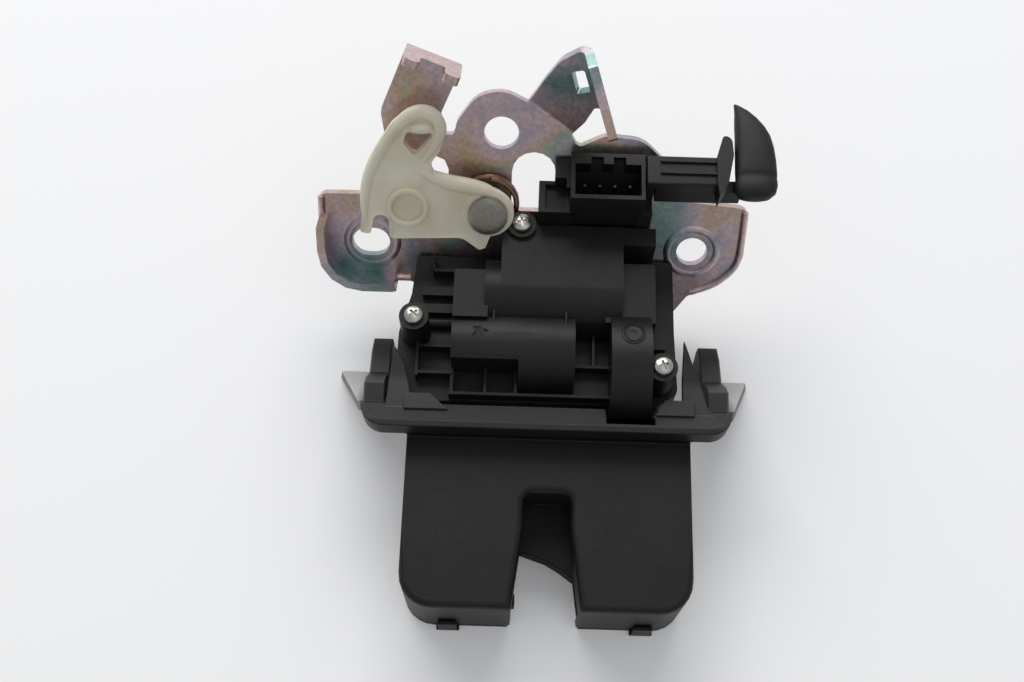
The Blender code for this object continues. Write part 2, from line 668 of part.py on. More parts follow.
def pawl():
    """The pawl, drawn holding the closed claw and turned back to ride on the claw's rim."""
    world = [(9.6, -14.0), (13.9, -12.6), (17.6, -11.6), (21.4, -2.0), (22.4, 1.2), (25.6, 1.0), (25.2, -12.0),
             (26.0, -30.0)]
    world += arc_points(PAWL_X, PAWL_Y, 6.1, 10, -190, 12)
    world += [(15.0, -28.5), (15.9, -24.0), (15.7, -18.5), (14.6, -16.6), (10.2, -16.2)]
    outline = [(x - PAWL_X, y - PAWL_Y) for x, y in world]
    made = plate("pawl", [outline, circle(0, 0, PIN_R + RUN, 24)], LATCH_LOW, LATCH_LOW + CLAW_T, STEEL)
    made.data.transform(Matrix.Rotation(-PAWL_LIFT, 4, "Z"))
    made.location = (PAWL_X * MM, PAWL_Y * MM, 0)
    return smooth(made)


def bridge():
    outline = [(-27.0, -31.0, 4), (-27.0, -8.0, 4), (29.0, -8.0, 4), (29.0, -42.0, 5), (13.6, -42.0, 2), (11.2, -15.4, 3),
               (-9.0, -15.4, 3), (-11.0, -31.0, 2)]
    holes = [circle(CLAW_X, CLAW_Y, PIN_R + RUN, 24), circle(PAWL_X, PAWL_Y, PIN_R + RUN, 24)]
    return smooth(plate("bridge_plate", [rounded(outline), *holes], BRIDGE_LOW, BRIDGE_LOW + BRIDGE_T, STEEL))


def latch_pin(name, x, y):
    top = BRIDGE_LOW + BRIDGE_T + 0.2
    shank = rod(name, x, y, PIN_R, BASE_LOW + 0.1, top + 0.6, STEEL)
    join(shank, rod("head", x, y, PIN_HEAD_R, top, top + 1.6, STEEL))
    return smooth(shank)


def motor_parts():
    can = rod("motor", MOTOR_Y, MOTOR_Z, MOTOR_R, MOTOR_LEFT, MOTOR_RIGHT, STEEL, "X", 40)
    join(can, rod("cap", MOTOR_Y, MOTOR_Z, 4.0, MOTOR_RIGHT - 0.5, MOTOR_RIGHT + 1.6, STEEL, "X"))
    cut(can, rod("bore", MOTOR_Y, MOTOR_Z, 1.3, MOTOR_RIGHT - 6, MOTOR_RIGHT + 3, STEEL, "X", 16))
    smooth(can)
    pinion = toothed("motor_pinion", PINION_TEETH, GEAR_LEFT, GEAR_WIDTH, BRASS, 0.5)
    join(pinion, rod("shaft", 0, 0, 1.2, MOTOR_RIGHT - 5, GEAR_LEFT + 1, BRASS, "X", 16))
    pinion.location = (0, MOTOR_Y * MM, MOTOR_Z * MM)
    return smooth(pinion)


def toothed(name, teeth, left, width, kind, turn=0.0):
    """A spur gear about the X axis with trapezoid teeth."""
    pitch = GEAR_MODULE * teeth / 2
    outline = []
    for k in range(teeth):
        for radius, share in ((pitch - 1.1 * GEAR_MODULE, -0.36), (pitch + 0.9 * GEAR_MODULE, -0.13),
                              (pitch + 0.9 * GEAR_MODULE, 0.13), (pitch - 1.1 * GEAR_MODULE, 0.36)):
            angle = 2 * math.pi * (k + turn + share) / teeth
            outline.append((radius * math.cos(angle), radius * math.sin(angle)))
    return plate(name, [outline], left, left + width, kind, "X")


MESH_ANGLE = math.atan2(MOTOR_Z - DRUM_Z, MOTOR_Y - DRUM_Y)


def drive_gear():
    """The large gear and its stub axle, about the drum's axis."""
    gear = toothed("drive_gear", GEAR_TEETH, GEAR_LEFT, GEAR_WIDTH, NYLON)
    gear.data.transform(Matrix.Rotation(MESH_ANGLE, 4, "X"))
    join(gear, rod("axle", 0, 0, AXLE_R, DRUM_LEFT - 0.4, DRUM_RIGHT + 0.4, NYLON, "X", 24))
    gear.location = (0, DRUM_Y * MM, DRUM_Z * MM)
    return smooth(gear)


def choke():
    """The wound choke that keeps the motor's brushes from disturbing the radio."""
    core = rod("choke", CHOKE_Y, CHOKE_Z, CHOKE_CORE, CHOKE_LEFT, CHOKE_LEFT + 24, SATIN, "X", 24)
    for k in range(9):
        left = CHOKE_LEFT + 2.0 + 2.3 * k
        join(core, rod("turn", CHOKE_Y, CHOKE_Z, CHOKE_R, left, left + 1.6, COPPER, "X", 24))
    return smooth(core)


def pinion_turn(pinion):
    """Puts a gap between two pinion teeth on the line of centres."""
    pinion.data.transform(Matrix.Rotation(MESH_ANGLE + math.pi, 4, "X"))
    return pinion


TRAY = [(-39.5, 6.3, 2), (-42.6, 18.0, 4), (-42.4, 27.0, 6), (-39.4, 38.8, 3), (-38.3, 52.0, 2), (36.4, 52.0, 2),
        (36.5, 28.6, 4), (37.2, 10.4, 3), (31.5, 6.3, 2)]
TRAY_IN = [(-37.9, 8.1, 1), (-40.8, 18.0, 3), (-40.6, 26.8, 5), (-37.6, 38.4, 2), (-36.5, 60.0), (34.6, 60.0),
           (34.7, 28.6, 3), (35.4, 11.0, 2), (30.8, 8.1, 1)]


def axle_seat():
    """A cutter that leaves the gear's axle room to turn in both drum walls."""
    return rod("axle_seat", DRUM_Y, DRUM_Z, AXLE_R + RUN, DRUM_LEFT - 1, DRUM_RIGHT + 1, BLACK, "X", 24)


def housing_tray():
    """The open tray under the actuator, staked through the mounting plate's base."""
    low = BASE_TOP + GAP
    tray = plate("housing_tray", [rounded(TRAY)], low, TRAY_TOP, BLACK)
    well = arc_points(DRUM_Y, DRUM_Z, DRUM_R, 182, 358, 24) + [(DRUM_Y + DRUM_R, TRAY_TOP), (DRUM_Y - DRUM_R, TRAY_TOP)]
    join(tray, plate("well", [well], DRUM_LEFT, DRUM_RIGHT, BLACK, "X"))
    cut(tray, behind_plate(PLATE_GAP), block("under", (-80, -20, -30), (80, 80, low), BLACK))
    hollow = plate("hollow", [rounded(TRAY_IN)], low + TRAY_FLOOR, 40, BLACK)
    join(hollow, rod("well", DRUM_Y, DRUM_Z, DRUM_R - COVER_WALL, DRUM_LEFT + 1.6, DRUM_RIGHT - 1.6, BLACK, "X", 48))
    cut(hollow, behind_plate(PLATE_GAP + 1.8), block("under", (-80, -20, -30), (80, 80, low + 1.4), BLACK))
    cut(tray, hollow)
    for x in (-27.0, 27.0):
        join(tray, rod("stake", x, 30.0, 2.3, BASE_LOW - 1.2, low + 0.8, BLACK, "Z", 20))
        join(tray, rod("stake_head", x, 30.0, 4.2, 0.0, BASE_LOW - GAP, BLACK, "Z", 24))
    for x in (-22.4, 0.4):
        low_z, high_z = low + 0.5, CHOKE_Z - 1.0
        cradle = [(CHOKE_Y - 4.6, low_z), (CHOKE_Y + 4.6, low_z), (CHOKE_Y + 4.6, high_z),
                  *arc_points(CHOKE_Y, CHOKE_Z, CHOKE_CORE + RUN, -21, -159, 10), (CHOKE_Y - 4.6, high_z)]
        join(tray, plate("cradle", [cradle], x - 0.45, x + 0.45, BLACK, "X"))
    cut(tray, axle_seat())
    return smooth(tray)


def hump(name, y, z, radius, left, right, low):
    """A half-round roof along X on straight walls."""
    return plate(name, [arc_points(y, z, radius, 0, 180, 24) + [(y - radius, low), (y + radius, low)]], left, right, BLACK,
                 "X")


def cover_shape(name, inset):
    """The cover's outer form, or with an inset the hollow under it."""
    low = COVER_LOW + 0.7 if not inset else 15.0
    deck_top = 24.5 - inset
    if inset:
        form = plate(name, [rounded(TRAY_IN)], 10.0, deck_top, BLACK)
    else:
        form = plate(name, [rounded(TRAY)], COVER_LOW, deck_top, BLACK)
    roof_y, roof_z, roof_r = MOTOR_Y + 0.5, MOTOR_Z + 1.5, ROOF_R - inset
    roof = arc_points(roof_y, roof_z, roof_r, 90, 180, 14)
    roof += [(roof_y - roof_r, low), (55.0 - inset, low), (55.0 - inset, roof_z + roof_r)]
    join(form, plate("upper", [roof], -13.6 + inset, 20.8 - inset, BLACK, "X"))
    join(form, hump("upper_end", roof_y, roof_z, roof_r - 0.02, -18.0 + inset, -10.0, low))
    join(form, hump("lower", CHOKE_Y - 1.0, 25.0, LOWER_R - inset, -8.0 + inset, 7.6 - inset, low))
    cut_y = CHOKE_Y - 6.8 + inset
    start = 180 - math.degrees(math.acos((CHOKE_Y - 1.0 - cut_y) / (LOWER_R - inset)))
    step = arc_points(CHOKE_Y - 1.0, 25.0, LOWER_R - inset, 0, start, 20)
    join(form, plate("lower_left", [step + [(cut_y, low), (CHOKE_Y - 1.0 + LOWER_R - inset, low)]], -26.8 + inset, -7.0 + inset,
                     BLACK, "X"))
    join(form, block("ledge", (-26.7 + inset, 27.0, low), (-17.0, 41.4 - inset, 37.1 - inset), BLACK))
    join(form, hump("drum", DRUM_Y, DRUM_Z, DRUM_R - inset, DRUM_LEFT + inset - 0.2 * bool(inset), DRUM_RIGHT - inset,
                    DRUM_Z - 0.6 if not inset else 15.0))
    join(form, block("label_end", (18.0, 49.4 + inset, low), (30.0 - inset, 54.9 - inset, 38.8 - inset), BLACK))
    join(form, block("gear_box", (16.0 + inset, 27.0 + inset, low), (30.1 - inset, 45.2 - inset, 35.5 - inset), BLACK))
    return form


SCREWS = [(-8.1, 54.4, 40.4), (-37.4, 26.2, 38.0), (31.6, 13.2, 38.0)]
BOSS_R = 4.1
SIDE_RIBS = [((-33.4, 44.9, 23.7), (-32.6, 49.4, 29.0)), ((-33.1, 44.2, 23.6), (-26.0, 45.1, 28.9)),
             ((-36.1, 37.3, 23.7), (-26.1, 39.9, 27.4)), ((-36.0, 31.8, 23.8), (-26.2, 34.6, 27.5)),
             ((-36.4, 20.9, 23.6), (-26.3, 21.7, 28.5)), ((-36.5, 12.9, 23.8), (-26.6, 13.7, 28.7)),
             ((-36.9, 12.2, 23.5), (-36.1, 24.0, 28.8)), ((-27.0, 7.3, 23.4), (-26.5, 24.0, 28.3)),
             ((12.7, 16.0, 23.7), (13.4, 27.9, 28.6)), ((7.0, 15.8, 23.8), (18.1, 16.6, 28.5)),
             ((29.4, 21.8, 23.7), (33.4, 26.6, 29.0))]


def housing_cover():
    """The actuator's cover: two round roofs, the gear drum, a label plate, ribs and screw bosses."""
    cover = cover_shape("housing_cover", 0)
    for x, y, top in SCREWS:
        join(cover, rod("boss", x, y, BOSS_R, 23.6, top, BLACK, "Z", 28))
    for x in (-26.4, -17.1, -8.6):
        join(cover, block("compartment", (x - 0.4, 7.2, 23.5), (x + 0.4, 16.2, 28.4), BLACK))
    join(cover, block("front_wall", (-27.2, 6.9, 23.6), (18.2, 7.7, 28.6), BLACK))
    for low, high in SIDE_RIBS:
        join(cover, block("side_rib", low, high, BLACK))
    join(cover, rod("cable_duct", 29.2, 25.8, 1.5, -34.0, -25.0, BLACK, "X", 20))
    cut(cover, behind_plate(PLATE_GAP))
    hollow = cover_shape("hollow", COVER_WALL)
    cut(hollow, behind_plate(PLATE_GAP + 1.8))
    cut(cover, hollow, block("under", (-80, -30, -10), (80, 80, COVER_LOW), BLACK))
    for x, y, top in SCREWS:
        cut(cover, rod("screw_hole", x, y, 1.7, top - 11, top + 1, BLACK, "Z", 16))
    star = [polar(2.6 if k % 2 == 0 else 1.4, 36 * k) for k in range(10)]
    recess = plate("star", [[(x - 18.9, y + 22.63) for x, y in star]], 36.63, 45, BLACK)
    cut(cover, recess, axle_seat())
    return smooth(cover)


def cover_screw(name, x, y, top):
    """A pan-head screw with a cross recess, in its boss."""
    screw = rod(name, x, y, 1.5, top - 9, top + 0.6, STEEL, "Z", 16)
    head = rod("head", x, y, 2.7, top + GAP, top + GAP + 1.7, STEEL, "Z", 24)
    for width, depth in ((1.7, 0.3), (0.3, 1.7)):
        low = (x - width, y - depth, top + GAP + 0.8)
        cut(head, block("cross", low, (x + width, y + depth, top + 6), STEEL))
    return smooth(join(screw, head))


PIN_COLUMNS = (9.0, 13.2, 17.4, 21.6)


def plug_socket():
    """The plug socket standing on the sloped plate, with a lower step on its left."""
    body = block("plug_socket", (5.0, 55.9, 24), (25.6, 70.2, SOCKET_TOP), BLACK)
    join(body, block("rear", (0.8, 61.0, 24.1), (28.4, 71.4, 50.6), BLACK))
    join(body, block("side", (24.0, 55.4, 24.2), (28.2, 66.0, 45.8), BLACK))
    join(body, block("step", (-3.6, 55.3, 24.3), (6.0, 65.2, 46.4), BLACK))
    cut(body, behind_plate(PLATE_GAP), block("pocket", (-1.8, 55.3 + 1.2, 36), (4.0, 64.0, 60), BLACK))
    mouth = block("mouth", (6.2, 57.2, 24), (24.5, 66.8, 60), BLACK)
    for x in (10.6, 16.8):
        join(mouth, block("keyway", (x, 66.0, 45), (x + 3.4, 69.0, 60), BLACK))
    cut(mouth, behind_plate(PLATE_GAP + 2.0))
    cut(body, mouth)
    for x in PIN_COLUMNS:
        cut(body, block("pin_hole", (x - 0.5, 61.0, 30), (x + 0.5, 62.0, 50), BLACK))
    return smooth(body)


def terminal(name, x):
    """A blade contact that stands through the socket's floor."""
    floor = slope_point(0, 0)[1] + (62.0 - PLATE_Y) * math.tan(SLOPE) + PLATE_GAP / math.cos(SLOPE)
    return block(name, (x - 0.4, 61.1, floor + 0.3), (x + 0.4, 61.9, 51.0), BRASS, 0.12)


def guide_arm():
    """The arm beside the socket that carries the soft cap."""
    arm = block("guide_arm", (25.9, 60.0, 52.2), (48.0, 68.9, 56.0), BLACK, 0.5)
    join(arm, block("lower", (28.8, 60.6, 44.6), (47.6, 64.4, 53.0), BLACK))
    join(arm, block("lower_end", (46.0, 60.7, 44.7), (52.6, 64.3, 50.8), BLACK))
    for y in (63.4, 67.0):
        join(arm, block("ridge", (29.6, y - 0.35, 55.6), (45.6, y + 0.35, 56.7), BLACK))
    skirt = [(44.9, 60.4), (45.0, 68.2), (46.9, 74.9, 1.0), (49.3, 74.9, 2.0), (49.7, 69.0, 6.0), (48.0, 60.2), (45.4, 56.0)]
    join(arm, plate("skirt", [rounded(skirt)], 50.8, 57.4, BLACK))
    return smooth(arm)


def arm_cap():
    """The soft cap on the arm's end, a fin that narrows to a thumb-like tip."""
    outline = [(50.5, 70.0, 4), (50.3, 63.0, 4), (49.2, 60.0, 1), (50.8, 57.0, 1.5), (57.6, 56.6, 5), (61.9, 59.4, 3),
               (61.9, 71.0, 8), (59.6, 79.4, 12), (50.9, 86.8, 0.8), (50.6, 79.0, 3)]
    return smooth(plate("arm_cap", [rounded(outline)], 51.2, 57.4, RUBBER))


LEVER = [(-11.9, 43.2, 3), (-13.4, 48.8, 4), (-21.6, 52.5, 5), (-29.9, 52.8, 8), (-35.8, 55.4, 4), (-31.3, 61.8, 5),
         (-29.9, 67.7, 2), (-35.3, 73.6, 5), (-43.8, 70.4, 6), (-49.4, 61.2, 10), (-53.2, 50.0, 10), (-53.4, 41.2, 3),
         (-54.1, 36.4, 1), (-51.0, 35.8, 1), (-49.9, 41.9, 2), (-45.8, 42.1, 2), (-45.7, 34.6, 1.5), (-25.0, 35.5, 4),
         (-20.2, 31.8, 0.8), (-18.4, 32.4, 0.8), (-16.4, 38.2, 4)]


def release_lever():
    """The nylon hand lever, turning on its rivet in front of the mounting plate."""
    window = [(-40.6, 66.2, 1), (-34.0, 65.8, 1), (-38.6, 60.8, 1)]
    loops = [rounded([(x - LEVER_X, s - LEVER_S, *r) for x, s, *r in LEVER]),
             rounded([(x - LEVER_X, s - LEVER_S, r) for x, s, r in window]), circle(0, 0, 3.0 + RUN, 24)]
    lever = plate("release_lever", loops, LEVER_LOW, LEVER_LOW + LEVER_T, NYLON)
    centre = (-42.1 - LEVER_X, 44.1 - LEVER_S)
    ring = plate("boss", [circle(*centre, 5.7, 28), circle(*centre, 4.6, 28)], LEVER_LOW + 1, LEVER_LOW + LEVER_T + 1, NYLON)
    join(lever, ring)
    lever.location = (LEVER_X * MM, LEVER_S * MM, 0)
    return smooth(on_plate(lever))


def lever_rivet():
    top = LEVER_LOW + LEVER_T + GAP
    rivet = rod("lever_rivet", LEVER_X, LEVER_S, 3.0, -SHEET - 0.8, top + 0.6, STEEL, "Z", 24)
    join(rivet, rod("head", LEVER_X, LEVER_S, RIVET_R, top, top + 1.8, STEEL, "Z", 36))
    join(rivet, rod("foot", LEVER_X, LEVER_S, 4.6, -SHEET - 2.0, -SHEET - GAP, STEEL, "Z", 24))
    join(rivet, rod("spacer", LEVER_X, LEVER_S, 4.2, 2.9, LEVER_LOW - GAP, STEEL, "Z", 24))
    return smooth(on_plate(rivet))


def micro_switch():
    body = block("micro_switch", (-34.0, 14.0, BASE_TOP + GAP + 1.5 + GAP), (-26.5, 26.0, 15.0), SATIN, 0.3)
    join(body, block("button", (-31.2, 19.0, 14.5), (-29.4, 20.8, 16.4), SATIN))
    return body


def build():
    mounting_plate()
    mouth_cover()
    mouth_back()
    claw()
    pawl()
    bridge()
    latch_pin("claw_pin", CLAW_X, CLAW_Y)
    latch_pin("pawl_pin", PAWL_X, PAWL_Y)
    spring_low = LATCH_LOW + CLAW_T + GAP
    smooth(coil_spring("claw_spring", CLAW_X, CLAW_Y, spring_low, 5.4, 0.42, 2.0, (9, 9), STEEL))
    smooth(coil_spring("pawl_spring", PAWL_X, PAWL_Y, spring_low, 5.0, 0.42, 1.75, (7, 5), STEEL))
    pinion_turn(motor_parts())
    drive_gear()
    choke()
    housing_tray()
    housing_cover()
    for name, place in zip(("top", "left", "right"), SCREWS):
        cover_screw("cover_screw_" + name, *place)
    plug_socket()
    for number, x in enumerate(PIN_COLUMNS, 1):
        terminal(f"terminal_{number}", x)
    guide_arm()
    arm_cap()
    release_lever()
    lever_rivet()
    smooth(on_plate(coil_spring("lever_spring", LEVER_X, LEVER_S, GAP, 8.0, 0.8, 1.2, (1, 2), COPPER)))
    micro_switch()


build()
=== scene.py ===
"""The tailgate lock lying on its back on a pale table, seen from the front and above its mouth."""

import math

import bmesh
import bpy
from mathutils import Matrix, Vector


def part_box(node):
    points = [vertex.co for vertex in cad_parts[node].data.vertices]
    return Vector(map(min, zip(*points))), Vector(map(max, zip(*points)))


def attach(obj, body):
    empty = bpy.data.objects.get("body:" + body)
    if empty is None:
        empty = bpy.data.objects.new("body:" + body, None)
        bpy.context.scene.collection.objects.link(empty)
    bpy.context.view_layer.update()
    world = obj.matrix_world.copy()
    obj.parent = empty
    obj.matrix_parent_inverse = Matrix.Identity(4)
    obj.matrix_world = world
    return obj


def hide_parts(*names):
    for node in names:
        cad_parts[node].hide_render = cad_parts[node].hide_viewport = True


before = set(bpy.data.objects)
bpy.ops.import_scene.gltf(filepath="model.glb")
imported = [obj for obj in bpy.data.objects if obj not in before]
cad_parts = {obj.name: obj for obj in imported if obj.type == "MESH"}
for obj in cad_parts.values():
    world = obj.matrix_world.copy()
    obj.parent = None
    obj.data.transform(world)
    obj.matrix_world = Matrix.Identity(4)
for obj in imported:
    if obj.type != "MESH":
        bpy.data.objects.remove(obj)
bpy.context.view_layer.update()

# The camera stands in front of the mouth and looks down on the lock, 22 degrees off the
# vertical. Its place and turn were fitted to the photograph's bolt holes, edges and screws.
CAMERA_PLACE = (-0.009937, -0.114445, 0.369548)
CAMERA_RIGHT = Vector((0.99953, 0.02831, 0.01144))
CAMERA_UP = Vector((-0.03054, 0.92675, 0.37443))
FOCAL_PIXELS = 1300
PHOTO_WIDTH = 1024
SENSOR = 36.0

camera_data = bpy.data.cameras.new("camera")
camera_data.sensor_width = SENSOR
camera_data.lens = FOCAL_PIXELS / PHOTO_WIDTH * SENSOR
camera_data.clip_start = 0.01
camera = bpy.data.objects.new("camera", camera_data)
bpy.context.scene.collection.objects.link(camera)
camera_back = CAMERA_RIGHT.cross(CAMERA_UP)
camera_turn = Matrix((CAMERA_RIGHT, CAMERA_UP, camera_back)).transposed().to_4x4()
camera.matrix_world = Matrix.Translation(CAMERA_PLACE) @ camera_turn
bpy.context.scene.camera = camera


# A plain pale table under a wide window behind the lock and a dim ceiling. The paper's own
# colour, lifted a little where the camera sees it, makes the background, and it takes shadows.
TABLE_HALF = 3.0
TABLE_TOP = -0.0001
PAPER_COLOUR = (0.885, 0.89, 0.90, 1)
PAPER_LIFT = 0.12
ROOM_COLOUR = (0.95, 0.97, 1.0, 1)
ROOM_LIGHT = 0.38
LAMP_TARGET = Vector((0, 0.02, 0.02))
WINDOW = ("window", (-0.25, 1.25, 1.15), (1.8, 1.2), 23, (1.0, 0.99, 0.97))
CEILING = ("ceiling", (0.5, -0.5, 1.9), (1.6, 1.6), 3, (0.95, 0.97, 1.0))


def new_material(name):
    """A fresh material, with its shader, its nodes and its links."""
    made = bpy.data.materials.new(name)
    made.use_nodes = True
    nodes = made.node_tree.nodes
    return made, nodes["Principled BSDF"], nodes, made.node_tree.links


paper, shader, nodes, links = new_material("table_paper")
shader.inputs["Base Color"].default_value = PAPER_COLOUR
shader.inputs["Roughness"].default_value = 0.9
shader.inputs["Specular IOR Level"].default_value = 0.1
shader.inputs["Emission Color"].default_value = (1, 1, 1, 1)
lift = nodes.new("ShaderNodeMath")
lift.operation = "MULTIPLY"
lift.inputs[1].default_value = PAPER_LIFT
links.new(nodes.new("ShaderNodeLightPath").outputs["Is Camera Ray"], lift.inputs[0])
links.new(lift.outputs["Value"], shader.inputs["Emission Strength"])

table_mesh = bmesh.new()
bmesh.ops.create_grid(table_mesh, x_segments=1, y_segments=1, size=TABLE_HALF)
table_data = bpy.data.meshes.new("table")
table_mesh.to_mesh(table_data)
table_mesh.free()
table_data.materials.append(paper)
table = bpy.data.objects.new("table", table_data)
bpy.context.scene.collection.objects.link(table)
table.location.z = TABLE_TOP

room = bpy.data.worlds.new("room")
room.use_nodes = True
room.node_tree.nodes["Background"].inputs["Color"].default_value = ROOM_COLOUR
room.node_tree.nodes["Background"].inputs["Strength"].default_value = ROOM_LIGHT
bpy.context.scene.world = room
bpy.context.scene.view_settings.view_transform = "Standard"

for name, spot, size, power, colour in (WINDOW, CEILING):
    lamp_data = bpy.data.lights.new(name, "AREA")
    lamp_data.shape = "RECTANGLE"
    lamp_data.size, lamp_data.size_y = size
    lamp_data.energy = power
    lamp_data.color = colour
    lamp = bpy.data.objects.new(name, lamp_data)
    bpy.context.scene.collection.objects.link(lamp)
    lamp.location = spot
    lamp.rotation_euler = (LAMP_TARGET - Vector(spot)).to_track_quat("-Z", "Y").to_euler()


# The mouth, moulded in black glass-filled nylon with a fine spark grain, and its flat back
# cover, which snaps on with two hooks. The mouth's block has soft edges. Its flange is painted
# paler as a painted sheen, and the upper sides of the flange's two ends paler still, a painted sheen of the
# window's light.
MM = 0.001
MERGE_DISTANCE = 0.000004
FLAT_ANGLE = math.radians(0.6)
EDGE_ANGLE = math.radians(32)
BLOCK_BACK = -5.5 * MM
BLOCK_FOOT = 4.0 * MM
BLOCK_EASE = 1.7
OTHER_EDGES = 0.16
LEVEL_WITHIN = 0.2 * MM
FLANGE_END = (0.0500, 0.0535)
FLANGE_FRONT = (-0.0042, -0.0032)
FLANGE_BACK = (0.0120, 0.0090)
FACING_UP = (0.2, 0.6)
# Painted sheen: the flange's grey and the pale grey on its ends' upper sides stand in for the window's
# reflection.
FLANGE_SHEEN = (0.040, 0.040, 0.042, 1)
END_SHEEN = (0.55, 0.55, 0.55, 1)
CLOUDS = (55, 4)
CLOUD_REACH = (0.35, 0.72)
SMEARS = (140, 3)
SPECKS = (2300, 3, 0.7)
SPECK_STOPS = [(0.48, (0, 0, 0)), (0.80, (0.34, 0.34, 0.34))]
SPECK_COLOUR = (0.055, 0.053, 0.050, 1)
PLASTIC_SHINE = 0.3
MOUTH_TONES = ((0.0075, 0.007, 0.0068), (0.0115, 0.0105, 0.010))
MOUTH_GLOSS = (0.36, 0.50)
MOUTH_GRAIN = (2600, 0.00005)


def node_mesh(name):
    """A copy of a solid's mesh, merged and with its flat sides made whole."""
    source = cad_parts[name]
    bm = bmesh.new()
    bm.from_mesh(source.data)
    bmesh.ops.transform(bm, matrix=source.matrix_world, verts=bm.verts)
    bmesh.ops.remove_doubles(bm, verts=bm.verts, dist=MERGE_DISTANCE)
    bmesh.ops.dissolve_degenerate(bm, dist=MERGE_DISTANCE, edges=bm.edges)
    bmesh.ops.dissolve_limit(bm, angle_limit=FLAT_ANGLE, verts=bm.verts, edges=bm.edges)
    return bm


def add_piece(bm, name, body, material, smooth_angle=38):
    """Makes a shape a piece of the lock that rides on a body."""
    data = bpy.data.meshes.new(name)
    bm.to_mesh(data)
    bm.free()
    piece = bpy.data.objects.new(name, data)
    bpy.context.scene.collection.objects.link(piece)
    data.materials.append(material)
    data.shade_smooth()
    data.set_sharp_from_angle(angle=math.radians(smooth_angle))
    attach(piece, body)
    return piece


def ease_edges(piece, width, segments=2):
    """Rounds a piece's edges slightly, as moulding and stamping do."""
    step = piece.modifiers.new("eased_edges", "BEVEL")
    step.width = width * MM
    step.segments = segments
    step.limit_method = "ANGLE"
    step.angle_limit = EDGE_ANGLE
    step.use_clamp_overlap = True
    level = piece.modifiers.new("level_faces", "WEIGHTED_NORMAL")
    level.keep_sharp = True
    level.weight = 60
    return step


def eased(node, body, material, width, segments=2):
    """Takes a solid over as it is, with its edges eased and its own finish."""
    piece = add_piece(node_mesh(node), node + "_body", body, material)
    ease_edges(piece, width, segments)
    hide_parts(node)


def pattern(nodes, links, scale, detail=3.0, roughness=0.55, distortion=0.0):
    """Clouded noise on a piece's own coordinates, as a value from 0 to 1."""
    made = nodes.new("ShaderNodeTexNoise")
    made.inputs["Scale"].default_value = scale
    made.inputs["Detail"].default_value = detail
    made.inputs["Roughness"].default_value = roughness
    made.inputs["Distortion"].default_value = distortion
    links.new(nodes.new("ShaderNodeTexCoord").outputs["Object"], made.inputs["Vector"])
    return made.outputs["Fac"]


def tinted(nodes, links, value, stops):
    """Turns a value into a colour by stops of (value, colour)."""
    made = nodes.new("ShaderNodeValToRGB")
    first, last = made.color_ramp.elements
    first.position, first.color = stops[0][0], (*stops[0][1], 1)
    last.position, last.color = stops[-1][0], (*stops[-1][1], 1)
    for position, colour in stops[1:-1]:
        made.color_ramp.elements.new(position).color = (*colour, 1)
    links.new(value, made.inputs["Fac"])
    return made.outputs["Color"]


def mapped(nodes, links, value, span, reach=(0.0, 1.0)):
    """Carries a value from one span to another, held at both ends."""
    made = nodes.new("ShaderNodeMapRange")
    made.inputs["From Min"].default_value, made.inputs["From Max"].default_value = span
    made.inputs["To Min"].default_value, made.inputs["To Max"].default_value = reach
    links.new(value, made.inputs["Value"])
    return made.outputs["Result"]


def product(nodes, links, first, second):
    """Multiplies one value by another."""
    made = nodes.new("ShaderNodeMath")
    made.operation = "MULTIPLY"
    links.new(first, made.inputs[0])
    links.new(second, made.inputs[1])
    return made.outputs["Value"]


def covered(nodes, links, share, under, over):
    """Lays a plain colour over another by a share from 0 to 1."""
    made = nodes.new("ShaderNodeMix")
    made.data_type = "RGBA"
    made.inputs["B"].default_value = over
    links.new(share, made.inputs["Factor"])
    links.new(under, made.inputs["A"])
    return made.outputs["Result"]


def surface(nodes, links, shader, colour, gloss, gloss_reach, grain, strength, depth):
    """Gives a shader its colour, its roughness between two limits, and its fine relief."""
    links.new(colour, shader.inputs["Base Color"])
    links.new(mapped(nodes, links, gloss, (0, 1), gloss_reach), shader.inputs["Roughness"])
    bump = nodes.new("ShaderNodeBump")
    bump.inputs["Strength"].default_value = strength
    bump.inputs["Distance"].default_value = depth
    links.new(grain, bump.inputs["Height"])
    links.new(bump.outputs["Normal"], shader.inputs["Normal"])


def moulded_plastic(name, tones, gloss_reach, grain):
    """Black plastic with a clouded tone, fine dust, smeared gloss and a spark grain."""
    dark, pale = tones
    grain_scale, grain_depth = grain
    material, shader, nodes, links = new_material(name)
    shader.inputs["Specular IOR Level"].default_value = PLASTIC_SHINE
    stops = [(CLOUD_REACH[0], dark), (CLOUD_REACH[1], pale)]
    tone = tinted(nodes, links, pattern(nodes, links, *CLOUDS), stops)
    dust = tinted(nodes, links, pattern(nodes, links, *SPECKS), SPECK_STOPS)
    colour = covered(nodes, links, dust, tone, SPECK_COLOUR)
    smear = pattern(nodes, links, *SMEARS)
    sparks = pattern(nodes, links, grain_scale, 2, 0.6)
    surface(nodes, links, shader, colour, smear, gloss_reach, sparks, 0.5, grain_depth)
    return material


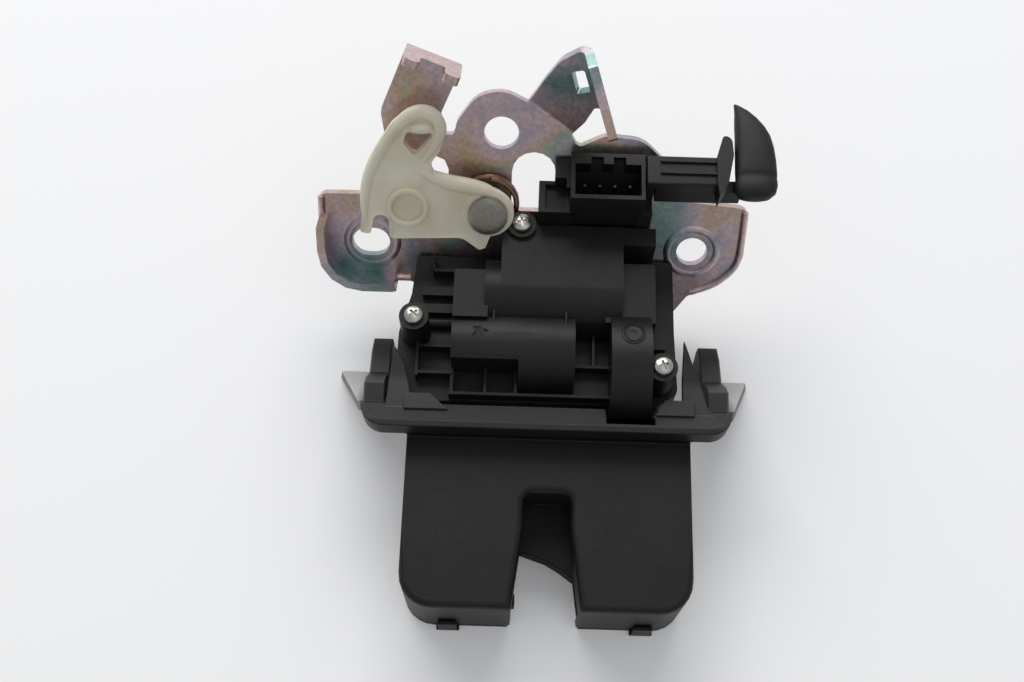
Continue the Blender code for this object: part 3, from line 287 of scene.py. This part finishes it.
def paint_flange_sheen(material):
    """Paints a pale sheen on the flange, and a paler painted sheen on the upper sides of its two ends."""
    nodes, links = material.node_tree.nodes, material.node_tree.links
    colour = nodes["Principled BSDF"].inputs["Base Color"]
    where = nodes.new("ShaderNodeSeparateXYZ")
    links.new(nodes.new("ShaderNodeTexCoord").outputs["Object"], where.inputs["Vector"])
    facing = nodes.new("ShaderNodeSeparateXYZ")
    links.new(nodes.new("ShaderNodeNewGeometry").outputs["Normal"], facing.inputs["Vector"])
    outwards = nodes.new("ShaderNodeMath")
    outwards.operation = "ABSOLUTE"
    links.new(where.outputs["X"], outwards.inputs[0])
    behind_front = mapped(nodes, links, where.outputs["Y"], FLANGE_FRONT)
    before_back = mapped(nodes, links, where.outputs["Y"], FLANGE_BACK)
    on_flange = product(nodes, links, behind_front, before_back)
    flange_sheened = covered(nodes, links, on_flange, colour.links[0].from_socket, FLANGE_SHEEN)
    at_end = mapped(nodes, links, outwards.outputs["Value"], FLANGE_END)
    on_top = mapped(nodes, links, facing.outputs["Z"], FACING_UP)
    end_sheen_share = product(nodes, links, at_end, on_top)
    links.new(covered(nodes, links, end_sheen_share, flange_sheened, END_SHEEN), colour)


mouth_black = moulded_plastic("mouth_black", MOUTH_TONES, MOUTH_GLOSS, MOUTH_GRAIN)
# Paints the sheen on the flange and on the upper sides of its ends.
paint_flange_sheen(mouth_black)

mouth = node_mesh("mouth_cover")
softness = mouth.edges.layers.float.new("bevel_weight_edge")
for edge in mouth.edges:
    if len(edge.link_faces) == 2 and edge.calc_face_angle(0) > EDGE_ANGLE:
        on_block = all(corner.co.y < BLOCK_BACK and corner.co.z > BLOCK_FOOT for corner in edge.verts)
        is_level = abs(edge.verts[0].co.z - edge.verts[1].co.z) < LEVEL_WITHIN
        edge[softness] = 1.0 if on_block and is_level else OTHER_EDGES
mouth = add_piece(mouth, "mouth_cover_body", "frame", mouth_black)
mouth_ease = ease_edges(mouth, BLOCK_EASE, 4)
mouth_ease.limit_method = "WEIGHT"
mouth_ease.use_clamp_overlap = False
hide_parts("mouth_cover")
eased("mouth_back", "frame", mouth_black, 0.4)


# The actuator's housing, a tray and the cover screwed on it, moulded in the same nylon with a
# browner tone and a coarser grain, and with it the plug socket and the arm beside it.
HOUSING_TONES = ((0.008, 0.007, 0.0065), (0.014, 0.0125, 0.0115))
HOUSING_GLOSS = (0.34, 0.52)
HOUSING_GRAIN = (1900, 0.00005)

housing_black = moulded_plastic("housing_black", HOUSING_TONES, HOUSING_GLOSS, HOUSING_GRAIN)
eased("housing_tray", "frame", housing_black, 0.3)
eased("housing_cover", "frame", housing_black, 0.3)
eased("plug_socket", "frame", housing_black, 0.35)
eased("guide_arm", "frame", housing_black, 0.3)


# Small moulded forms of the housing: two fins between its motor humps, the floor of the
# pocket beside the socket, and the bare round of a date stamp on the gear drum.
FIN_PLACES = (-15.2, 5.0)
FIN_HALF = 0.4
FIN_FOOT = (25.4, 30)
FIN_TOP = (31.6, 36.3)
POCKET_LOW = (-2.2, 56.0, 43.6)
POCKET_HIGH = (4.4, 64.4, 44.8)
POLE_MERGE = 0.000002
DRUM_AXIS_Y = 17.0
DRUM_AXIS_Z = 22.0
DRUM_RADIUS = 18.0
STAMP_AT = (23.4, 22.4, 0)
STAMP_PROFILE = [(0, -0.3), (0, 0.08), (0.5, 0.12), (0.8, 0.02), (2.2, 0.02), (2.5, 0.16), (2.75, 0.02),
                 (3.05, 0.02), (3.2, 0.18), (3.4, 0.12), (3.5, -0.3)]


def moulded_bar(bm, low, high):
    """Adds a plain bar between two corners to a shape."""
    size = Vector(high) - Vector(low)
    middle = (Vector(high) + Vector(low)) / 2
    place = Matrix.Translation(middle * MM) @ Matrix.Diagonal((*(size * MM), 1))
    bmesh.ops.create_cube(bm, size=1.0, matrix=place)


def turned(profile, centre, where, steps=48):
    """Spins a closed outline of (radius, height) round an upright axis at centre."""
    bm = bmesh.new()
    corners = [bm.verts.new((radius * MM, 0, height * MM)) for radius, height in profile]
    loop = [bm.edges.new((corners[k - 1], corners[k])) for k in range(len(corners))]
    bmesh.ops.spin(bm, geom=corners + loop, cent=(0, 0, 0), axis=(0, 0, 1), angle=math.tau, steps=steps,
                   use_merge=True)
    bmesh.ops.remove_doubles(bm, verts=bm.verts, dist=POLE_MERGE)
    bmesh.ops.recalc_face_normals(bm, faces=bm.faces)
    bmesh.ops.transform(bm, matrix=where @ Matrix.Translation(Vector(centre) * MM), verts=bm.verts)
    return bm


fins = bmesh.new()
for x in FIN_PLACES:
    moulded_bar(fins, (x - FIN_HALF, *FIN_FOOT), (x + FIN_HALF, *FIN_TOP))
moulded_bar(fins, POCKET_LOW, POCKET_HIGH)
fins = add_piece(fins, "housing_fins", "frame", housing_black)
ease_edges(fins, 0.2)

stamp = turned(STAMP_PROFILE, STAMP_AT, Matrix.Identity(4), 40)
for corner in stamp.verts:
    off_axis = corner.co.y / MM - DRUM_AXIS_Y
    corner.co.z += (DRUM_AXIS_Z + math.sqrt(DRUM_RADIUS ** 2 - off_axis ** 2)) * MM
add_piece(stamp, "drum_stamp_round", "frame", housing_black)


# The mounting plate, stamped and folded from sheet steel and yellow passivated, which leaves
# mauve, rose, bronze and green tints drifting over bright, finely streaked zinc.
SHEET_PLACE = Vector((0, 37.4, 3.5)) * MM
SHEET_SLOPE = math.radians(54)
ON_SHEET = Matrix.Translation(SHEET_PLACE) @ Matrix.Rotation(SHEET_SLOPE, 4, "X")
ZINC_TINTS = [(0.34, (0.26, 0.38, 0.36)), (0.42, (0.50, 0.47, 0.53)), (0.49, (0.72, 0.55, 0.57)),
              (0.55, (0.66, 0.49, 0.38)), (0.61, (0.42, 0.50, 0.42)), (0.68, (0.64, 0.50, 0.60))]
SCUFFS = [(0.35, (0.80, 0.80, 0.80)), (0.70, (1.12, 1.12, 1.12))]
ZINC_DRIFT = (34, 3, 0.5, 0.6)
ZINC_STREAKS = (700, 4, 0.65)
ZINC_GLOSS = (0.26, 0.46)
ZINC_RELIEF = (0.35, 0.00005)

zinc, shader, nodes, links = new_material("yellow_zinc")
shader.inputs["Metallic"].default_value = 1.0
drift = pattern(nodes, links, *ZINC_DRIFT)
streak = pattern(nodes, links, *ZINC_STREAKS)
worn = nodes.new("ShaderNodeMix")
worn.data_type = "RGBA"
worn.blend_type = "MULTIPLY"
worn.inputs["Factor"].default_value = 1.0
links.new(tinted(nodes, links, drift, ZINC_TINTS), worn.inputs["A"])
links.new(tinted(nodes, links, streak, SCUFFS), worn.inputs["B"])
surface(nodes, links, shader, worn.outputs["Result"], streak, ZINC_GLOSS, streak, *ZINC_RELIEF)
eased("mounting_plate", "frame", zinc, 0.35)


# The plate's two wings: a lip rolled along the outer edge of each, and a ring pressed up round
# its bolt hole, on which the fixing bolt's head seats. Both keep the plate's own finish.
LIP_RADIUS = 1.0
LIP_HEIGHT = 0.25
LEFT_LIP = [(-66.0, 43.0), (-66.0, 34), (-66.0, 27), (-65.2, 21.5), (-60.5, 17.6), (-54.0, 17.0), (-47, 17.0),
            (-40.5, 17.0)]
RIGHT_LIP = [(56.0, 41.8), (56.0, 34), (56.0, 28), (55.4, 24), (52.6, 20.6), (49.4, 17.6), (46, 16.2),
             (42.6, 14.9)]
PRESSED_RING = [(6.2, -0.2), (6.35, 0.35), (6.9, 0.55), (7.6, 0.5), (8.4, 0.02), (8.4, -0.2)]
WING_HOLES = {"left": (-51.6, 28.8, 0), "right": (41.9, 28.4, 0)}


def crest(name, points, radius, height, body, material):
    """A rounded bead along a smooth line on the sheet, of (x, y) or (x, y, thickness)."""
    curve = bpy.data.curves.new(name, "CURVE")
    curve.dimensions = "3D"
    curve.bevel_depth = radius * MM
    curve.bevel_resolution = 4
    curve.use_fill_caps = True
    curve.resolution_u = 6
    line = curve.splines.new("NURBS")
    line.points.add(len(points) - 1)
    for point, (x, y, *thickness) in zip(line.points, points):
        point.co = (*(ON_SHEET @ Vector((x * MM, y * MM, height * MM))), 1)
        point.radius = thickness[0] if thickness else 1.0
    line.order_u = 4
    line.use_endpoint_u = True
    piece = bpy.data.objects.new(name, curve)
    bpy.context.scene.collection.objects.link(piece)
    curve.materials.append(material)
    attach(piece, body)


crest("wing_lip_left", LEFT_LIP, LIP_RADIUS, LIP_HEIGHT, "frame", zinc)
crest("wing_lip_right", RIGHT_LIP, LIP_RADIUS, LIP_HEIGHT, "frame", zinc)
for side, centre in WING_HOLES.items():
    add_piece(turned(PRESSED_RING, centre, ON_SHEET), "wing_ring_" + side, "frame", zinc)


# The hand lever, moulded in natural nylon, milky and slightly see-through, and turning on its
# rivet: a raised rim, a crest round its finger lobe, a ridge on its arm and a low hollow boss.
LEVER_FACE = 9.2
LEVER_BACK = 6.0
LEVER_RIM = 1.5
LEVER_SUNK = 0.7
LEVER_OUTLINE = [(-11.9, 43.2, 3), (-13.4, 48.8, 4), (-21.6, 52.5, 5), (-29.9, 52.8, 8), (-35.8, 55.4, 4),
                 (-31.3, 61.8, 5), (-29.9, 67.7, 2), (-35.3, 73.6, 5), (-43.8, 70.4, 6), (-49.4, 61.2, 10),
                 (-53.2, 50.0, 10), (-53.4, 41.2, 3), (-54.1, 36.4, 1), (-51.0, 35.8, 1), (-49.9, 41.9, 2),
                 (-45.8, 42.1, 2), (-45.7, 34.6, 1.5), (-25.0, 35.5, 4), (-20.2, 31.8, 0.8),
                 (-18.4, 32.4, 0.8), (-16.4, 38.2, 4)]
FINGER_WINDOW = [(-40.4, 67.2, 0.8), (-32.4, 67.0, 0.8), (-38.3, 60.0, 1.2), (-41.4, 63.9, 1.2)]
RIVET_AT = (-17.8, 43.3)
RIVET_HOLE = 3.2
HOLE_CORNERS = 28
BOSS_AT = (-40.3, 44.8)
BOSS_WALL = [(4.5, LEVER_FACE - 1.6), (4.5, LEVER_FACE + 1.0), (4.7, LEVER_FACE + 1.2),
             (5.5, LEVER_FACE + 1.2), (5.7, LEVER_FACE + 1.0), (5.7, LEVER_FACE - 1.6)]
RIVET_SEAT = [(3.4, LEVER_FACE - 1.6), (3.4, LEVER_FACE + 0.1), (6.6, LEVER_FACE + 0.1),
              (7.3, LEVER_FACE - 0.4), (7.3, LEVER_FACE - 1.6)]
LOBE_CREST = [(-52.5, 40, 0.5), (-52.7, 46, 0.8), (-51.8, 52.5, 0.9), (-49.2, 58.6, 1), (-45.8, 64.4, 1),
              (-42.6, 69.2, 1), (-38.6, 72.8, 1.1), (-34.2, 73.2, 1.1), (-31.2, 70.2, 1), (-31.0, 66.0, 1),
              (-33.6, 61.4, 0.8), (-36.4, 57.8, 0.4)]
FINGER_PAD = [(-39.0, 68.0, 0.7), (-37.6, 68.4, 1.1), (-35.6, 68.6, 1.1), (-33.8, 68.0, 0.7)]
ARM_CREST = [(-36.6, 55.4, 0.6), (-32.4, 53.0, 0.9), (-27.5, 51.5, 1.1), (-21.6, 51.0, 1), (-16.6, 49.1, 0.9),
             (-13.4, 46.4, 0.6)]
MILKY_TONES = [(0.3, (0.72, 0.65, 0.46)), (0.7, (0.90, 0.86, 0.72))]
MILK_CLOUDS = (60, 3)
NYLON_SCATTER = (0.003, 0.0025, 0.0015)
NYLON_GLOSS = (0.32, 0.50)
HANDLING = (300, 3)
HANDLED_RELIEF = (0.2, 0.00008)


def round_corner(bm, corner, radius):
    """Rounds one corner of an outline with a short arc."""
    ends = [(edge.other_vert(corner).co - corner.co).normalized() for edge in corner.link_edges]
    half_turn = (math.pi - ends[0].angle(ends[1])) / 2
    bmesh.ops.bevel(bm, geom=[corner], offset=radius * MM * math.tan(half_turn), affect="VERTICES",
                    segments=6, profile=0.5, material=-1, clamp_overlap=True)


def flat_blank(outlines, hole_at, low, high, rim, sunk):
    """A blank on the sheet, its outline first, then its windows, its face sunk inside a rim."""
    bm = bmesh.new()
    for outline in outlines:
        corners = [bm.verts.new((x * MM, y * MM, high * MM)) for x, y, radius in outline]
        for k in range(len(corners)):
            bm.edges.new((corners[k - 1], corners[k]))
        for corner, (x, y, radius) in zip(corners, outline):
            round_corner(bm, corner, radius)
    hole = Matrix.Translation(Vector((*hole_at, high)) * MM)
    bmesh.ops.create_circle(bm, segments=HOLE_CORNERS, radius=RIVET_HOLE * MM, matrix=hole)
    bmesh.ops.triangle_fill(bm, edges=bm.edges[:], use_beauty=True, use_dissolve=False, normal=(0, 0, 1))
    faces = bm.faces[:]
    bmesh.ops.recalc_face_normals(bm, faces=faces)
    if faces[0].normal.z < 0:
        bmesh.ops.reverse_faces(bm, faces=faces)
    made = bmesh.ops.extrude_face_region(bm, geom=faces, use_keep_orig=True)
    top = [item for item in made["geom"] if isinstance(item, bmesh.types.BMFace)]
    bmesh.ops.reverse_faces(bm, faces=faces)
    for corner in {corner for face in faces for corner in face.verts}:
        corner.co.z = low * MM
    bmesh.ops.inset_region(bm, faces=top, thickness=rim * MM, depth=0, use_boundary=True,
                           use_even_offset=True)
    for corner in {corner for face in top for corner in face.verts}:
        corner.co.z -= sunk * MM
    bmesh.ops.recalc_face_normals(bm, faces=bm.faces)
    bmesh.ops.transform(bm, matrix=ON_SHEET, verts=bm.verts)
    return bm


nylon, shader, nodes, links = new_material("natural_nylon")
shader.inputs["Subsurface Weight"].default_value = 0.2
shader.inputs["Subsurface Radius"].default_value = NYLON_SCATTER
milk = tinted(nodes, links, pattern(nodes, links, *MILK_CLOUDS), MILKY_TONES)
handled = pattern(nodes, links, *HANDLING)
surface(nodes, links, shader, milk, handled, NYLON_GLOSS, handled, *HANDLED_RELIEF)

outlines = [LEVER_OUTLINE, FINGER_WINDOW]
lever = flat_blank(outlines, RIVET_AT, LEVER_BACK, LEVER_FACE, LEVER_RIM, LEVER_SUNK)
lever = add_piece(lever, "release_lever_body", "lever", nylon)
ease_edges(lever, 0.45, 3)
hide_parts("release_lever")
add_piece(turned(BOSS_WALL, (*BOSS_AT, 0), ON_SHEET), "lever_boss", "lever", nylon)
add_piece(turned(RIVET_SEAT, (*RIVET_AT, 0), ON_SHEET), "lever_rivet_seat", "lever", nylon)
crest("lever_lobe_crest", LOBE_CREST, 1.8, LEVER_FACE - 1.1, "lever", nylon)
crest("lever_finger_pad", FINGER_PAD, 1.7, LEVER_FACE - 0.6, "lever", nylon)
crest("lever_arm_crest", ARM_CREST, 2.2, LEVER_FACE - 1.5, "lever", nylon)


# The lever's rivet, a dull steel pin through the plate, on which the lever turns. Its wide head
# is slightly domed, and has a coarse, speckled skin.
DARKER = 0.7
RIVET_TONE = (0.42, 0.40, 0.34)
RIVET_GLOSS = (0.34, 0.56)
RIVET_MARKS = (1500, 0.00012)
RIVET_CROWN = [(0, 10.6), (5.2, 10.6), (5.35, 11.35), (5.0, 11.62), (3.4, 11.86), (1.6, 12.0), (0, 12.05)]


def plain_metal(name, colour, gloss_reach, tool_marks):
    """A plain metal with small tool marks that vary its tone, gloss and relief."""
    scale, depth = tool_marks
    darker = tuple(DARKER * share for share in colour)
    material, shader, nodes, links = new_material(name)
    shader.inputs["Metallic"].default_value = 1.0
    marks = pattern(nodes, links, scale, 4, 0.6)
    tone = tinted(nodes, links, marks, [(0.3, darker), (0.7, colour)])
    surface(nodes, links, shader, tone, marks, gloss_reach, marks, 0.5, depth)
    return material


rivet_steel = plain_metal("rivet_steel", RIVET_TONE, RIVET_GLOSS, RIVET_MARKS)
eased("lever_rivet", "frame", rivet_steel, 0.5, 3)
add_piece(turned(RIVET_CROWN, (*RIVET_AT, 0), ON_SHEET), "lever_rivet_crown", "frame", rivet_steel)


# The three pan-head screws that hold the cover on the tray, in bright zinc-plated steel. Each
# cross recess stands at the angle at which its screw came to rest.
HEAD_DEPTH = 1.7
SCREW_PROFILE = [(0, -8.5), (1.5, -8.5), (1.5, 0), (2.62, 0), (2.7, 0.3), (2.5, 0.95), (1.9, 1.42),
                 (1.0, 1.64), (0, HEAD_DEPTH)]
SCREW_PLACES = {"top": (-8.1, 54.4, 0.2), "left": (-37.4, 26.2, 0.75), "right": (31.6, 13.2, 0.35)}
ARM_LENGTH = 1.6
ARM_WIDTH = 0.42
ARM_DEPTH = 2.4
RECESS_FLOOR = 0.55
WIDE_TOP = 1.15
NARROW_FOOT = 0.7
SCREW_TONE = (0.72, 0.70, 0.65)
SCREW_GLOSS = (0.22, 0.40)
SCREW_MARKS = (900, 0.00003)


def cross_arm(centre, turn):
    """A tapered bar, wider at its top, for one arm of a cross recess."""
    arm = bmesh.new()
    bmesh.ops.create_cube(arm, size=2.0)
    for corner in arm.verts:
        at_top = corner.co.z > 0
        spread = WIDE_TOP if at_top else NARROW_FOOT
        corner.co.x *= ARM_LENGTH * spread
        corner.co.y *= ARM_WIDTH * spread
        corner.co.z = ARM_DEPTH if at_top else 0
    place = Matrix.Translation(Vector(centre)) @ Matrix.Rotation(turn, 4, "Z")
    bmesh.ops.transform(arm, matrix=Matrix.Scale(MM, 4) @ place, verts=arm.verts)
    return arm


def carved(bm, cutter):
    """Cuts one closed shape out of another and gives back what is left."""
    blanks = []
    for shape in (bm, cutter):
        data = bpy.data.meshes.new("blank")
        shape.to_mesh(data)
        shape.free()
        blanks.append(bpy.data.objects.new("blank", data))
        bpy.context.scene.collection.objects.link(blanks[-1])
    cut = blanks[0].modifiers.new("cut", "BOOLEAN")
    cut.operation = "DIFFERENCE"
    cut.solver = "EXACT"
    cut.object = blanks[1]
    cut_blank = blanks[0].evaluated_get(bpy.context.evaluated_depsgraph_get())
    left = bmesh.new()
    left.from_mesh(cut_blank.to_mesh())
    cut_blank.to_mesh_clear()
    for blank in blanks:
        data = blank.data
        bpy.data.objects.remove(blank)
        bpy.data.meshes.remove(data)
    return left


screw_steel = plain_metal("screw_steel", SCREW_TONE, SCREW_GLOSS, SCREW_MARKS)
for side, (x, y, slant) in SCREW_PLACES.items():
    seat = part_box("cover_screw_" + side)[1][2] / MM - HEAD_DEPTH
    screw = turned(SCREW_PROFILE, (x, y, seat), Matrix.Identity(4), 40)
    for quarter in (0, math.pi / 2):
        screw = carved(screw, cross_arm((x, y, seat + RECESS_FLOOR), slant + quarter))
    screw = add_piece(screw, "cover_screw_" + side + "_body", "frame", screw_steel, 30)
    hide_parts("cover_screw_" + side)


# The plain steel of the latch and the drive: the bridge plate over the two shoulder rivets of
# the claw and pawl, the pawl itself, and the drawn can of the motor inside the housing.
for node in ("bridge_plate", "claw_pin", "pawl_pin", "motor"):
    eased(node, "frame", screw_steel, 0.25)
eased("pawl", "pawl", screw_steel, 0.3)


# The claw, a steel plate turning on its rivet inside the mouth. Black plastic is moulded over
# it, which quiets the striker.
COATING_TONES = ((0.009, 0.009, 0.009), (0.014, 0.013, 0.013))
COATING_GLOSS = (0.5, 0.65)
COATING_GRAIN = (2200, 0.00006)

coating = moulded_plastic("claw_coating", COATING_TONES, COATING_GLOSS, COATING_GRAIN)
eased("claw", "claw", coating, 0.4)


# The soft cap pushed over the arm's end, moulded in rubber as one crowned fin. A crease
# crosses it near its foot, and two small nubs stand on its face.
CAP_MIDDLE = 54.3
CAP_SQUARENESS = 0.8
CAP_ROWS = [(86.8, 50.7, 51.4, 0.6), (86.0, 50.75, 52.5, 1.2), (84.4, 50.8, 54.8, 1.9),
            (82.2, 50.7, 57.0, 2.5), (79.5, 50.6, 59.1, 2.9), (76.5, 50.6, 60.6, 3.05),
            (73.0, 50.5, 61.4, 3.1), (69.0, 50.4, 61.8, 3.1), (65.2, 50.3, 61.9, 3.1),
            (64.0, 50.3, 61.9, 2.85), (63.2, 50.3, 61.8, 2.45), (62.3, 50.2, 61.9, 2.8),
            (61.0, 49.9, 61.9, 3.05), (59.0, 50.0, 61.4, 2.9), (57.5, 51.0, 59.8, 2.3),
            (56.8, 52.6, 57.8, 1.2)]
NUB_AT = (57.8, 56.9)
NUB_ROWS = (73.4, 67.8)
NUB_RADIUS = 0.55
NUB_STRETCH = (1.5, 0.7, 0.7, 1)
RUBBER_TONES = ((0.012, 0.0125, 0.013), (0.020, 0.020, 0.021))
RUBBER_GLOSS = (0.45, 0.62)
RUBBER_GRAIN = (1500, 0.00005)


def squared(value):
    """Pushes a point of a circle outwards, for a section between a circle and a square."""
    return math.copysign(abs(value) ** CAP_SQUARENESS, value)


cap_rubber = moulded_plastic("cap_rubber", RUBBER_TONES, RUBBER_GLOSS, RUBBER_GRAIN)
cap = bmesh.new()
rows = []
for y, left, right, half in CAP_ROWS:
    section = bmesh.ops.create_circle(cap, segments=32, radius=1.0)["verts"]
    for corner in section:
        x = (left + right) / 2 + squared(corner.co.x) * (right - left) / 2
        corner.co = Vector((x, y, CAP_MIDDLE + squared(corner.co.y) * half)) * MM
    rows.append(list(dict.fromkeys(edge for corner in section for edge in corner.link_edges)))
for upper, lower in zip(rows, rows[1:]):
    bmesh.ops.bridge_loops(cap, edges=upper + lower)
for end in (rows[0], rows[-1]):
    bmesh.ops.edgeloop_fill(cap, edges=end)
bmesh.ops.recalc_face_normals(cap, faces=cap.faces)
cap = add_piece(cap, "arm_cap_body", "frame", cap_rubber, 60)
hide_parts("arm_cap")

nubs = bmesh.new()
for y in NUB_ROWS:
    spot = Matrix.Translation(Vector((NUB_AT[0], y, NUB_AT[1])) * MM) @ Matrix.Diagonal(NUB_STRETCH)
    bmesh.ops.create_uvsphere(nubs, u_segments=16, v_segments=10, radius=NUB_RADIUS * MM, matrix=spot)
add_piece(nubs, "arm_cap_nubs", "frame", cap_rubber, 60)


# The lever's return spring, wound from copper-coloured wire round the rivet, between the lever
# and the plate.
COPPER_TONE = (0.40, 0.24, 0.17)
COPPER_GLOSS = (0.28, 0.45)
COPPER_MARKS = (1200, 0.00003)

copper = plain_metal("copper_wire", COPPER_TONE, COPPER_GLOSS, COPPER_MARKS)
eased("lever_spring", "frame", copper, 0.02, 1)


# The four contacts of the plug socket, blades stamped from brass sheet and tinned, which stand
# in the socket's floor. Their tone is painted dark, a painted shade for the deep shade of the socket.
# Painted shade: the brass is given a dark tone for the shade deep in the socket.
BRASS_SHADED_TONE = (0.06, 0.055, 0.045)
BRASS_GLOSS = (0.35, 0.50)
BRASS_MARKS = (1200, 0.00002)

brass = plain_metal("tinned_brass", BRASS_SHADED_TONE, BRASS_GLOSS, BRASS_MARKS)
for number in range(1, 5):
    eased(f"terminal_{number}", "frame", brass, 0.05)


# The torsion springs of the claw and pawl, wound from plain steel wire. They lie round their
# pins, inside the mouth.
for node in ("claw_spring", "pawl_spring"):
    eased(node, "frame", screw_steel, 0.02, 1)


# The drive and its circuit inside the housing: the motor's brass pinion, the moulded nylon
# gear that it turns, the copper choke, and the switch in the housing's own plastic.
# The pinion takes the same brass, painted dark as shade.
eased("motor_pinion", "pinion", brass, 0.05)
eased("drive_gear", "gear", nylon, 0.08)
eased("choke", "frame", copper, 0.1)
eased("micro_switch", "frame", housing_black, 0.2)
